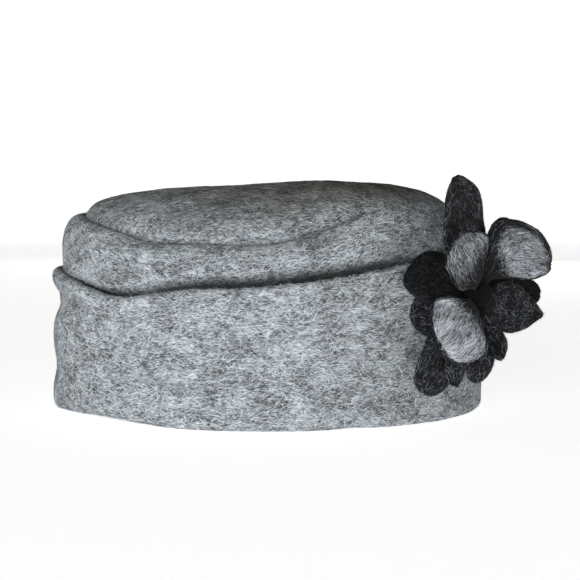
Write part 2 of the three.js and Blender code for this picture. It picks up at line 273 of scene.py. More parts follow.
# The crease: a narrow valley outside and a wide one inside, and the dome above it sags over its edge.
line_share, line_reach, valley_reach = 0.6, 1.1 * mm, 5 * mm
inside_share, inside_reach = 0.8, 7 * mm
sag_share, sag_reach = 0.45, 3.5 * mm
from_crease = path - path[crease_row]
sinking = crease_deep(directions) * crease_depth * (np.arange(len(sheet)) > wall_row_first + wall_steps)[:, None]
line = np.exp(-np.abs(from_crease) / line_reach)
valley = np.exp(-((from_crease / valley_reach) ** 2))
narrow = line_share * line + (1 - line_share) * valley
wide = np.exp(-((from_crease / inside_reach) ** 2))
sag = np.where(from_crease > 0, sag_share * np.exp(-from_crease / sag_reach), 0)
face_out -= (cap_out * narrow[..., None] + cap_forward * sag[..., None]) * sinking[..., None]
face_in -= cap_out * (inside_share * wide * sinking)[..., None]

# The tuck ends in a narrow gap behind the cuff's edge.
slit_depth, slit_inside, slit_rise, slit_reach = 1.3 * felt, 0.6, 1.5 * mm, 2.6 * mm
over_edge = sheet[wall_row_first:, :, 2] - edge_at(directions) * cuff_height
slit = slit_depth * np.minimum(1, tuck_at(directions)) * np.exp(-(((over_edge - slit_rise) / slit_reach) ** 2))
face_out[wall_row_first:, :, :2] -= inward * slit[..., None]
face_in[wall_row_first:, :, :2] -= inward * slit_inside * slit[..., None]

# Shade is painted into the felt's colour deep in the crease, and in a band behind the cuff's edge. The band of
# painted shade behind the edge is higher and ends more softly where the tuck is deep.
line_shade, line_shade_reach = 1.1, 1.1 * mm
band_height, band_growth, band_limit = 1.7 * mm, 3.2 * mm, 1.3
soft_height, soft_growth = 1.6 * mm, 2.4 * mm
crease_ends = np.minimum(1, crease_deep(directions) * 2)
hollow = line_shade * np.exp(-((from_crease / line_shade_reach) ** 2)) * crease_ends
band = band_height + band_growth * np.minimum(band_limit, tuck_at(directions))
soft = soft_height + soft_growth * np.minimum(1, tuck_at(directions))
hollow[wall_row_first:] += np.clip((band - over_edge) / soft + 0.5, 0, 1)
hollow[:wall_row_first] = 0
hollow = np.concatenate([0 * hollow, np.zeros((lip_steps - 1, turns)), np.minimum(hollow, 1)])
lip = []
for i in range(1, lip_steps):
    bend = math.pi * i / lip_steps
    lip.append(sheet[0] + (cap_out[0] * -math.cos(bend) - cap_forward[0] * math.sin(bend)) * thick[0] / 2)

# The rings run from the pole inside the hat down the wall's inner face and up the outside of the cuff, round its
# lip, down between cuff and wall, and up over the crown to the pole outside.
rings = np.concatenate([face_in[::-1], np.array(lip), face_out])
lay = np.concatenate([cap_across[::-1], np.repeat(cap_across[:1], lip_steps - 1, 0), cap_across])


# Weave runs round the hat in x and y and along the section in z, so the wool streaks follow the cuff.
weave_radius = 95 * mm
run = np.concatenate([[0], np.cumsum(np.linalg.norm(np.diff(rings, axis=0), axis=-1).mean(1))])
turn = np.radians(directions)
weave = np.stack(
    [
        np.broadcast_to(weave_radius * np.cos(turn), rings.shape[:2]),
        np.broadcast_to(weave_radius * np.sin(turn), rings.shape[:2]),
        np.broadcast_to(run[:, None], rings.shape[:2]),
    ],
    -1,
)

# On top of the crown the wool lies from left to right instead. Shade with a warm brown tint is painted over the top,
# most of all on the right, where less light falls.
crown_from, crown_over = 0.075, 0.015
top_from, top_over = 0.5, 0.35
brown_from, brown_over = 0.68, 0.3
brown_middle, brown_reach, brown_least = 0.75, 0.16, 0.4
steep = np.abs(np.concatenate([cap_out[::-1], np.repeat(cap_out[:1] * 0, lip_steps - 1, 0), cap_out])[..., 2])
on_crown = np.clip((rings[..., 2] - crown_from) / crown_over, 0, 1)
top = np.clip((steep - top_from) / top_over, 0, 1) * on_crown
top = top * top * (3 - 2 * top)
brown = np.clip((steep - brown_from) / brown_over, 0, 1) * on_crown
brown = brown * np.clip(brown_middle + rings[..., 0] / brown_reach, brown_least, 1)
crosswise = np.zeros_like(lay)
crosswise[..., 0] = np.where(lay[..., 0] < 0, -1, 1)
lay = lay * (1 - top[..., None]) + crosswise * top[..., None]

# Where each side of the cap carries loose wool, ring by ring. Each passes its own end by a few rings, and the bottom
# of the crease and the gap behind the cuff are bare.
past_lip, past_edge, past_wall = 4, 5, 2
bare_crease, bare_reach, bare_share = 1.1, 2.4 * mm, 0.9
sheet_rows = len(sheet)
crown_rows = shoulder_steps + dome_steps - 1
cuff_inside = sheet_rows + lip_steps - 1
nap = {name: np.zeros(rings.shape[:2]) for name in ("cuff_wool", "crown_wool", "inner_wool")}
nap["cuff_wool"][sheet_rows - cuff_steps - fold_steps : cuff_inside + past_lip] = 1
nap["crown_wool"][-crown_rows - past_edge :] = 1
nap["inner_wool"][: crown_rows + wall_steps + past_wall] = 1
bare = bare_crease * np.exp(-((from_crease / bare_reach) ** 2)) * crease_ends
bare[wall_row_first:] += slit / slit_depth
nap["crown_wool"][-sheet_rows:] *= np.clip(1 - bare_share * bare, 0, 1)


def felt_piece(name, points, faces, **values):
    """A smooth closed mesh with its values kept as attributes of its points."""
    mesh = bpy.data.meshes.new(name)
    mesh.from_pydata(points.tolist(), [], faces)
    mesh.polygons.foreach_set("use_smooth", [True] * len(mesh.polygons))
    for label, value in values.items():
        vector = value.ndim == 2
        layer = mesh.attributes.new(label, "FLOAT_VECTOR" if vector else "FLOAT", "POINT")
        layer.data.foreach_set("vector" if vector else "value", np.ascontiguousarray(value, np.float32).ravel())
    made = bpy.data.objects.new(name, mesh)
    bpy.context.scene.collection.objects.link(made)
    return made


def flat(grid):
    """A grid's points or values in one list."""
    return grid.reshape(-1, grid.shape[-1]) if grid.ndim == 3 else grid.ravel()


def closed_faces(rows, columns):
    """Faces between rings of points, closed by a fan to a pole at each end. The poles are the last two points."""
    made = []
    for i in range(rows - 1):
        for j in range(columns):
            k = (j + 1) % columns
            made.append((i * columns + j, i * columns + k, (i + 1) * columns + k, (i + 1) * columns + j))
    last, first_pole = (rows - 1) * columns, rows * columns
    for j in range(columns):
        k = (j + 1) % columns
        made.append((k, j, first_pole))
        made.append((last + j, last + k, first_pole + 1))
    return made


half_felt = np.array([0, 0, felt / 2])
points = np.concatenate([flat(rings), [pole - half_felt, pole + half_felt]])
points += np.array(middle)
points[:, 2] = np.maximum(points[:, 2], 0)


def with_poles(grid):
    """The cap's values, with those of its first and last point repeated at the poles."""
    return np.concatenate([flat(grid), flat(grid)[:1], flat(grid)[-1:]])


cap = felt_piece(
    "felt_cap",
    points,
    closed_faces(len(rings), turns),
    weave=with_poles(weave),
    lay=with_poles(lay),
    top=with_poles(top),
    hollow=with_poles(hollow),
    brown=with_poles(brown),
    **{name: with_poles(value) for name, value in nap.items()},
)


def node(tree, kind, settings=(), **inputs):
    """Adds a node. Settings are its options, and inputs are values or the sockets to link."""
    made = tree.nodes.new(kind)
    for label, value in dict(settings).items():
        setattr(made, label, value)
    for label, value in inputs.items():
        place = int(label[1:]) if label[0] == "n" and label[1:].isdigit() else label.replace("_", " ")
        if isinstance(value, bpy.types.NodeSocket):
            tree.links.new(value, made.inputs[place])
        else:
            made.inputs[place].default_value = value
    return made


def add_socket(tree, side, kind, label, value=None):
    made = tree.interface.new_socket(label, in_out=side, socket_type="NodeSocket" + kind)
    if value is not None:
        made.default_value = value


def math_node(tree, operation, a, b, c=0.0, clamp=False):
    settings = {"operation": operation, "use_clamp": clamp}
    return node(tree, "ShaderNodeMath", settings, n0=a, n1=b, n2=c).outputs[0]


def blend(tree, share, first, second, kind="MIX"):
    """A colour between two others."""
    settings = {"data_type": "RGBA", "blend_type": kind}
    return node(tree, "ShaderNodeMix", settings, n0=share, n6=first, n7=second).outputs[2]


# Carded wool in two shades, laid in long wisps and patches, with its height for the bump.
heather = bpy.data.node_groups.new("heathered_wool", "ShaderNodeTree")
add_socket(heather, "INPUT", "Vector", "Weave")
add_socket(heather, "INPUT", "Vector", "Place")
add_socket(heather, "INPUT", "Float", "Top", 0.0)
add_socket(heather, "INPUT", "Color", "Dark", (0, 0, 0, 1))
add_socket(heather, "INPUT", "Color", "Light", (1, 1, 1, 1))
add_socket(heather, "OUTPUT", "Color", "Color")
add_socket(heather, "OUTPUT", "Float", "Height")
given = node(heather, "NodeGroupInput")
result = node(heather, "NodeGroupOutput")


def soft_noise(source, size, detail, distortion=0.0):
    """Noise drawn out to a size along x, y and z."""
    multiply = {"operation": "MULTIPLY"}
    spread = node(heather, "ShaderNodeVectorMath", multiply, n0=source, n1=[1 / length for length in size]).outputs[0]
    made = node(heather, "ShaderNodeTexNoise", Vector=spread, Scale=1.0, Detail=detail, Distortion=distortion)
    return made.outputs["Fac"]


def streaks(along, across, detail, distortion):
    """Noise drawn out round the hat, or from left to right on top of the crown."""
    around_hat = soft_noise(given.outputs["Weave"], (along, along, across), detail, distortion)
    on_top = soft_noise(given.outputs["Place"], (along, across, along), detail, distortion)
    return node(heather, "ShaderNodeMix", n0=given.outputs["Top"], n2=around_hat, n3=on_top).outputs[0]


wisps = streaks(4 * mm, 1.1 * mm, 2.0, 0.6)
hairs = streaks(1.6 * mm, 0.45 * mm, 1.0, 0.8)
patch_size = (13 * mm, 13 * mm, 8 * mm)
patch_detail = 2.5
patches = soft_noise(given.outputs["Place"], patch_size, patch_detail)

# The share of light wool is the sum of the three, each with its gain and its start.
share = 0.0
for pattern, gain, start in ((wisps, 1.8, -0.9), (hairs, 2.4, -1.2), (patches, 1.2, -0.2)):
    share = math_node(heather, "ADD", share, math_node(heather, "MULTIPLY_ADD", pattern, gain, start))
share.node.use_clamp = True
colour = blend(heather, share, given.outputs["Dark"], given.outputs["Light"])
heather.links.new(colour, result.inputs["Color"])
heather.links.new(math_node(heather, "ADD", wisps, hairs), result.inputs["Height"])


def attribute(tree, label, output):
    return node(tree, "ShaderNodeAttribute", {"attribute_name": label}).outputs[output]


# Painted shade in deep folds, behind the cuff's edge and in the flower's middle, and painted shade with a warm brown
# tint on top of the crown.
shading = bpy.data.node_groups.new("shaded_wool", "ShaderNodeTree")
add_socket(shading, "INPUT", "Color", "Color", (1, 1, 1, 1))
add_socket(shading, "OUTPUT", "Color", "Color")
# The warm tint of the shade painted on top of the crown.
brown_tint = (0.45, 0.4, 0.33, 1)
deepest_shade = 0.88
open_wool = node(shading, "NodeGroupInput").outputs["Color"]
browned = blend(shading, attribute(shading, "brown", "Fac"), open_wool, brown_tint, "MULTIPLY")
painted_darkness = math_node(shading, "MULTIPLY", attribute(shading, "hollow", "Fac"), deepest_shade)
in_painted_shade = blend(shading, painted_darkness, browned, (0, 0, 0, 1))
shading.links.new(in_painted_shade, node(shading, "NodeGroupOutput").inputs["Color"])


fray_scale = 900.0


def felt_material(name, dark, light, sheen, rim=None):
    """Matt heathered felt. rim gives the charcoal pair that shows where the attribute pale is 0."""
    made = bpy.data.materials.new(name)
    made.use_nodes = True
    tree = made.node_tree
    shader = tree.nodes["Principled BSDF"]
    place = node(tree, "ShaderNodeTexCoord").outputs["Object"]
    wool = node(tree, "ShaderNodeGroup", {"node_tree": heather}, Dark=dark, Light=light)
    tree.links.new(attribute(tree, "weave", "Vector"), wool.inputs["Weave"])
    tree.links.new(place, wool.inputs["Place"])
    tree.links.new(attribute(tree, "top", "Fac"), wool.inputs["Top"])
    if rim:
        frayed = node(tree, "ShaderNodeTexNoise", Vector=place, Scale=fray_scale, Detail=2.0).outputs["Fac"]
        paleness = math_node(tree, "ADD", attribute(tree, "pale", "Fac"), frayed)
        paleness = node(tree, "ShaderNodeMapRange", Value=paleness, From_Min=0.75, From_Max=1.15).outputs[0]
        for label, charcoal_shade, pale_shade in zip(("Dark", "Light"), rim, (dark, light)):
            tree.links.new(blend(tree, paleness, charcoal_shade, pale_shade), wool.inputs[label])
    shaded = node(tree, "ShaderNodeGroup", {"node_tree": shading}, Color=wool.outputs["Color"])
    tree.links.new(shaded.outputs["Color"], shader.inputs["Base Color"])
    bump = node(tree, "ShaderNodeBump", Strength=0.5, Distance=0.5 * mm, Height=wool.outputs["Height"])
    tree.links.new(bump.outputs[0], shader.inputs["Normal"])
    shader.inputs["Roughness"].default_value = 0.95
    shader.inputs["Specular IOR Level"].default_value = 0.2
    shader.inputs["Sheen Weight"].default_value = sheen
    shader.inputs["Sheen Roughness"].default_value = 0.6
    return made


grey_dark, grey_light = (0.06, 0.067, 0.072, 1), (0.43, 0.46, 0.485, 1)
coal_dark, coal_light = (0.001, 0.0012, 0.0015, 1), (0.007, 0.008, 0.01, 1)
# A darker copy of the charcoal: black wool, darkened further by painted shade.
shaded_black_dark, shaded_black_light = (0.0005, 0.0005, 0.0007, 1), (0.002, 0.0022, 0.0025, 1)
cap.data.materials.append(felt_material("grey_felt", grey_dark, grey_light, 0.1))
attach(cap, "root")
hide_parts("cap")


# The loose wool on the felt.
# Real strands, a few to the square millimetre, lie along the felt or lift a little out of it. They are scattered
# over the felt's points with the lay that it has there.
rim_rarity = 3.5


def wool_material(name, dark, light, rim=None, rarity=1.0):
    """Strands between two shades. A rarity over 1 leaves fewer of them light. rim is the pair for a charcoal rim."""
    made = bpy.data.materials.new(name)
    made.use_nodes = True
    tree = made.node_tree
    shader = tree.nodes["Principled BSDF"]
    drawn = attribute(tree, "shade", "Fac")
    shade = math_node(tree, "POWER", drawn, rarity)
    colour = blend(tree, shade, dark, light)
    if rim:
        rim_colour = blend(tree, math_node(tree, "POWER", drawn, rim_rarity), *rim)
        pale = attribute(tree, "pale", "Fac")
        paleness = node(tree, "ShaderNodeMapRange", Value=pale, From_Min=0.25, From_Max=0.6).outputs[0]
        colour = blend(tree, paleness, rim_colour, colour)
    shaded = node(tree, "ShaderNodeGroup", {"node_tree": shading}, Color=colour)
    tree.links.new(shaded.outputs["Color"], shader.inputs["Base Color"])
    shader.inputs["Roughness"].default_value = 0.9
    shader.inputs["Specular IOR Level"].default_value = 0.2
    return made


strands = bpy.data.node_groups.new("loose_wool", "GeometryNodeTree")
for kind, label, value in (
    ("Geometry", "Felt", None),
    ("String", "Nap", ""),
    ("Float", "Strands per square metre", 1.0),
    ("Float", "Shortest", 5 * mm),
    ("Float", "Longest", 12 * mm),
    ("Float", "Width", 0.2 * mm),
    ("Float", "Stray", 0.6),
    ("Float", "Tilt", 0.05),
    ("Float", "Lift", 0.2 * mm),
    ("Float", "Wave", 0.9 * mm),
    ("Int", "Seed", 1),
    ("Material", "Wool", None),
):
    add_socket(strands, "INPUT", kind, label, value)
add_socket(strands, "OUTPUT", "Geometry", "Strands")
given = node(strands, "NodeGroupInput").outputs
named = {
    label: node(strands, "GeometryNodeInputNamedAttribute", {"data_type": "FLOAT_VECTOR"}, Name=label).outputs[0]
    for label in ("lay", "weave")
}
nap_share = node(strands, "GeometryNodeInputNamedAttribute", {"data_type": "FLOAT"}, Name=given["Nap"]).outputs[0]
density = math_node(strands, "MULTIPLY", nap_share, given["Strands per square metre"])
scatter = node(
    strands, "GeometryNodeDistributePointsOnFaces", Mesh=given["Felt"], Density=density, Seed=given["Seed"]
)


def chance(low, high, seed):
    """A random number for each strand."""
    picked = node(strands, "FunctionNodeRandomValue", {"data_type": "FLOAT"}, Seed=seed)
    for place, value in ((2, low), (3, high)):
        if isinstance(value, bpy.types.NodeSocket):
            strands.links.new(value, picked.inputs[place])
        else:
            picked.inputs[place].default_value = value
    return picked.outputs[1]


def either_way(label, seed):
    """A random number for each strand, from minus to plus one of the group's inputs."""
    return chance(math_node(strands, "MULTIPLY", given[label], -1.0), given[label], seed)


def store(points, label, value):
    """The points, each with a value kept under a name."""
    settings = {"data_type": "FLOAT", "domain": "POINT"}
    made = node(strands, "GeometryNodeStoreNamedAttribute", settings, Geometry=points, Name=label, Value=value)
    return made.outputs[0]


# The strands' shades follow the felt's patches, so that both are dark or light in the same places.
patch_share, shade_spread = 1.1, (-0.8, 0.65)
where = node(strands, "GeometryNodeInputPosition").outputs[0]
patch_scale = [1 / length for length in patch_size]
patch_place = node(strands, "ShaderNodeVectorMath", {"operation": "MULTIPLY"}, n0=where, n1=patch_scale).outputs[0]
patch_shade = node(strands, "ShaderNodeTexNoise", Vector=patch_place, Scale=1.0, Detail=patch_detail).outputs["Fac"]
shade = math_node(strands, "MULTIPLY_ADD", patch_shade, patch_share, chance(*shade_spread, 11), clamp=True)
shaded = store(scatter.outputs["Points"], "shade", shade)
marked = store(shaded, "strand", chance(0.0, 60.0, 12))
raised = node(
    strands,
    "ShaderNodeVectorMath",
    {"operation": "SCALE"},
    n0=scatter.outputs["Normal"],
    Scale=chance(0.0, given["Lift"], 13),
).outputs[0]
lifted = node(strands, "GeometryNodeSetPosition", Geometry=marked, Offset=raised)
upright = node(strands, "FunctionNodeAlignRotationToVector", {"axis": "Z"}, Vector=scatter.outputs["Normal"])
laid = node(
    strands,
    "FunctionNodeAlignRotationToVector",
    {"axis": "X", "pivot_axis": "Z"},
    Rotation=upright.outputs[0],
    Vector=named["lay"],
)
turned = node(
    strands,
    "ShaderNodeCombineXYZ",
    X=chance(-0.5, 0.5, 14),
    Y=either_way("Tilt", 15),
    Z=math_node(strands, "ADD", either_way("Stray", 16), either_way("Stray", 17)),
)
strayed = node(
    strands,
    "FunctionNodeRotateRotation",
    {"rotation_space": "LOCAL"},
    Rotation=laid.outputs[0],
    Rotate_By=node(strands, "FunctionNodeEulerToRotation", Euler=turned.outputs[0]).outputs[0],
)

# A strand is a ribbon that narrows to both ends and waves.
taper_share, bend_scale = -3.2, 230.0
ribbon = node(strands, "GeometryNodeMeshGrid", Size_X=1.0, Size_Y=1.0, Vertices_X=3, Vertices_Y=2)
spot = node(strands, "GeometryNodeInputPosition").outputs[0]
spots = node(strands, "ShaderNodeSeparateXYZ", Vector=spot).outputs
taper = math_node(strands, "MULTIPLY_ADD", math_node(strands, "MULTIPLY", spots[0], spots[0]), taper_share, 1.0)
narrowed = math_node(strands, "MULTIPLY", spots[1], taper)
tapered = node(strands, "ShaderNodeCombineXYZ", X=spots[0], Y=narrowed).outputs[0]
pointed = node(strands, "GeometryNodeSetPosition", Geometry=ribbon.outputs[0], Position=tapered)
size = node(
    strands,
    "ShaderNodeCombineXYZ",
    X=chance(given["Shortest"], given["Longest"], 18),
    Y=given["Width"],
    Z=1.0,
).outputs[0]
placed = node(
    strands,
    "GeometryNodeInstanceOnPoints",
    Points=lifted.outputs[0],
    Instance=pointed.outputs[0],
    Rotation=strayed.outputs[0],
    Scale=size,
)
real = node(strands, "GeometryNodeRealizeInstances", Geometry=placed.outputs[0])
strand_number = node(strands, "GeometryNodeInputNamedAttribute", {"data_type": "FLOAT"}, Name="strand").outputs[0]
bends = node(
    strands, "ShaderNodeTexNoise", {"noise_dimensions": "4D"}, W=strand_number, Scale=bend_scale, Detail=1.0
).outputs["Color"]
centred = node(strands, "ShaderNodeVectorMath", {"operation": "SUBTRACT"}, n0=bends, n1=(0.5, 0.5, 0.5)).outputs[0]
bent = node(strands, "ShaderNodeVectorMath", {"operation": "SCALE"}, n0=centred, Scale=given["Wave"]).outputs[0]
wavy = node(strands, "GeometryNodeSetPosition", Geometry=real.outputs[0], Offset=bent)
smooth = node(strands, "GeometryNodeSetShadeSmooth", Geometry=wavy.outputs[0])
coloured = node(strands, "GeometryNodeSetMaterial", Geometry=smooth.outputs[0], Material=given["Wool"])
result = node(strands, "NodeGroupOutput")
strands.links.new(coloured.outputs[0], result.inputs[0])


folded_up = 0.2


def loose_wool(name, felt_object, material, **sizes):
    """Scatters strands over one piece of felt, returned as a plain mesh. Those under the hem lie on the table."""
    modifier = felt_object.modifiers.new("loose_wool", "NODES")
    modifier.node_group = strands
    sockets = {item.name: item.identifier for item in strands.interface.items_tree if item.in_out == "INPUT"}
    modifier[sockets["Wool"]] = material
    for label, value in sizes.items():
        modifier[sockets[label.replace("_", " ")]] = value
    bpy.context.view_layer.update()
    seen = felt_object.evaluated_get(bpy.context.evaluated_depsgraph_get())
    mesh = bpy.data.meshes.new_from_object(seen)
    felt_object.modifiers.remove(modifier)
    mesh.name = name
    spots = np.empty(len(mesh.vertices) * 3, np.float32)
    mesh.vertices.foreach_get("co", spots)
    spots[2::3] = np.where(spots[2::3] < 0, -folded_up * spots[2::3], spots[2::3])
    mesh.vertices.foreach_set("co", spots)
    made = bpy.data.objects.new(name, mesh)
    bpy.context.scene.collection.objects.link(made)
    return made


grey_wool = wool_material("grey_wool", (0.018, 0.021, 0.023, 1), (0.7, 0.745, 0.78, 1))
for name, nap_name, per_metre, seed in (
    ("cuff_wool", "cuff_wool", 0.79e6, 3),
    ("cuff_fuzz", "cuff_wool", 0.79e6, 4),
    ("crown_wool", "crown_wool", 0.76e6, 5),
    ("crown_fuzz", "crown_wool", 0.76e6, 6),
    ("inner_wool", "inner_wool", 0.15e6, 7),
):
    wool = loose_wool(
        name,
        cap,
        grey_wool,
        Nap=nap_name,
        Strands_per_square_metre=per_metre,
        Seed=seed,
        Width=0.19 * mm,
        Shortest=2 * mm,
        Longest=5.5 * mm,
        Stray=0.85,
        Tilt=0.1,
        Wave=1.3 * mm,
    )
    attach(wool, "root")


# The petals.
# Thirteen petals cut from felt with a blunt rim. Three of them are pale on their faces and charcoal behind. Each
# is sewn by its root round a stub in the middle.
flower_turn = math.radians(48)
flower_tilt = math.radians(8)
flower_height = 57 * mm
foot_radius = 5.5 * mm
foot_flange = 10 * mm
foot_flange_thick = 2.2 * mm
foot_layers = 5
foot_crown = 0.8 * mm
seat = 0.35 * mm
petal_length = 50 * mm
petal_width = 32 * mm
petal_felt = 2.4 * mm
petal_root = 9 * mm
dark_root = 1.6
petal_belly = 0.55
petal_blunt = 0.1
petal_twist = 0.4
petal_opening = 0.9
round_close, pointed_close = 2.6, 1.2
petal_columns = (
    *("name", "turn", "bow", "level", "start", "long", "wide"),
    *("rise", "fall", "curl", "roll", "point", "pale", "shaded_black"),
)
petals = [
    ("petal_top", 79, 36, 0, 1, 1.02, 1.2, 6, 8, 4, 1, 0.58, 0, 0),
    ("petal_back_upper_right", 42, 4, 1, 1.03, 0.89, 0.55, 10, -1, 2, -2, 0.2, 0, 1),
    ("petal_back_right", 2, -10, 0, 1, 0.98, 0.55, 3, 16, 0, -1, 0, 0, 1),
    ("petal_back_lower_right", -67, -8, 1, 1.07, 0.55, 0.4, 20, 9, 20, 20, 0.21, 0, 0),
    ("petal_back_bottom", -69, -17, 0, 1, 0.74, 0.63, 5, -16, 1, 16, 0.02, 0, 0),
    ("petal_lower_left", -132, 18, 1, 1, 0.93, 0.91, 0, -26, -2, 0, 0, 0, 0),
    ("petal_back_left", -155, -42, 0, 1, 0.62, 0.67, 3, -23, -12, -8, 0, 0, 0),
    ("petal_left", 151, 38, 1, 1, 0.74, 0.8, 8, -29, 2, -4, 0.46, 0, 1),
    ("petal_right", -15, 0, 2, 1, 0.87, 0.77, 0, 19, -15, 7, 0.83, 0, 0),
    ("petal_lower_fold", -127, 20, 2, 1, 0.79, 0.49, 4, -8, -19, 2, 0.25, 0, 0),
    ("petal_upper_right", 59, -103, 3, 1, 1.19, 0.95, 6, 9, 0, -10, 0.09, 1, 0),
    ("petal_bottom", -141, -6, 3, 1.03, 0.64, 1.07, 13, -22, -2, 18, 0.04, 1, 0),
    ("petal_middle", 131, -20, 4, 1, 0.54, 1.09, 13, -6, 3, -4, 0.41, 0.45, 0),
]

# The charcoal margin of the pale petals, in mm: on the left and right of the petal and at its end.
margins = {
    "petal_upper_right": (7.5, 1.0, 5.5),
    "petal_bottom": (3.0, 1.2, 1.2),
    "petal_middle": (0.8, 1.6, 1.0),
}

# The flower's own axes: right and up as seen from in front of it, and out from the hat.
away = np.array([math.sin(flower_turn), -math.cos(flower_turn)])
flower_angle = math.degrees(math.atan2(away[1] * out_width, away[0] * out_length))
spot = np.array([flower_angle])
flower_share = (flower_height - hem_at(spot)) / (edge_at(spot) * cuff_height - hem_at(spot))
facing = np.array([*(away * math.cos(flower_tilt)), math.sin(flower_tilt)])
stand = felt / 2 + seat + foot_flange * math.sin(flower_tilt)
right_hand = np.array([-away[1], away[0], 0])
axes = np.array([right_hand, np.cross(facing, right_hand), facing])
root = cuff_row(spot, float(flower_share[0]))[0] + facing * stand + np.array(middle)


def petal_swell(share, point):
    """A petal's width along it: it opens up to its belly, and closes round, or pointed where point is 1."""
    opened = np.sin(math.pi / 2 * np.minimum(1, share / petal_belly)) ** petal_opening
    end = np.maximum(0, (share - petal_belly) / (1 - petal_belly))
    closed = (1 - end ** (round_close - pointed_close * point)) ** (0.5 + 0.5 * point)
    return np.maximum(opened * closed, petal_blunt)


def both(grid, other=None):
    """Points or values of a petal's front, and of its back inside the rim that they share."""
    other = grid if other is None else other
    return np.concatenate([flat(grid), flat(other[1:-1, 1:-1])])


# The blunt rim: how square it is at the sides and at the end, and the shares of a petal's length where the end begins
# to round off and where the root has its full thickness.
petal_steps, petal_lanes = 38, 22
rim_square, end_square, end_from, root_round = 7, 12, 0.6, 0.06
least_curl = 1e-4

# Shares of a petal's length from its root: where it turns pale inside its margin, how far the painted shade of the
# flower's middle reaches, and where its loose wool begins. The weave of each petal is taken from a place of its own.
pale_inset, pale_from, pale_over = 0.3, 0.15, 0.4
root_shade, root_shade_reach = 0.9, 0.3
hairy_from, hairy_gain = 0.12, 6
petal_apart = 0.1

# The ruffles of the margin, and the soft dents of a petal in mm.
ruffle = 1.1 * mm
ruffle_waves, ruffle_step, ruffle_side = 9, 1.7, 2.1
petal_dent, petal_dent_size, petal_dent_step = 0.9, 9 * mm, 5

# The loose wool of the pale petals is combed along them. That of the dark ones is sparse and runs all ways.
combed = dict(Strands_per_square_metre=0.9e6, Longest=7 * mm, Stray=0.22, Width=0.16 * mm, Wave=0.9 * mm)
tangled = dict(Strands_per_square_metre=1.5e6, Longest=5 * mm, Stray=0.9, Width=0.11 * mm, Wave=1.5 * mm)
coal_strands = (0.001, 0.0012, 0.0015, 1), (0.26, 0.275, 0.3, 1)
charcoal = (
    felt_material("charcoal_felt", coal_dark, coal_light, 0.02),
    wool_material("charcoal_wool", *coal_strands, rarity=2.8),
)
# Petals deep in the flower's shade are near black: partly their own black wool, partly shade painted into felt and
# strands.
shaded_black = (
    felt_material("shaded_black_felt", shaded_black_dark, shaded_black_light, 0.0),
    wool_material("shaded_black_wool", (0.0005, 0.0005, 0.0007, 1), (0.05, 0.054, 0.062, 1), rarity=3.5),
)
pale_pair = (0.06, 0.065, 0.073, 1), (0.48, 0.505, 0.55, 1)
pale_grey = (
    felt_material("pale_felt", *pale_pair, 0.03, rim=(coal_dark, coal_light)),
    wool_material("pale_wool", (0.03, 0.033, 0.038, 1), (0.8, 0.83, 0.88, 1), rim=coal_strands, rarity=1.1),
)
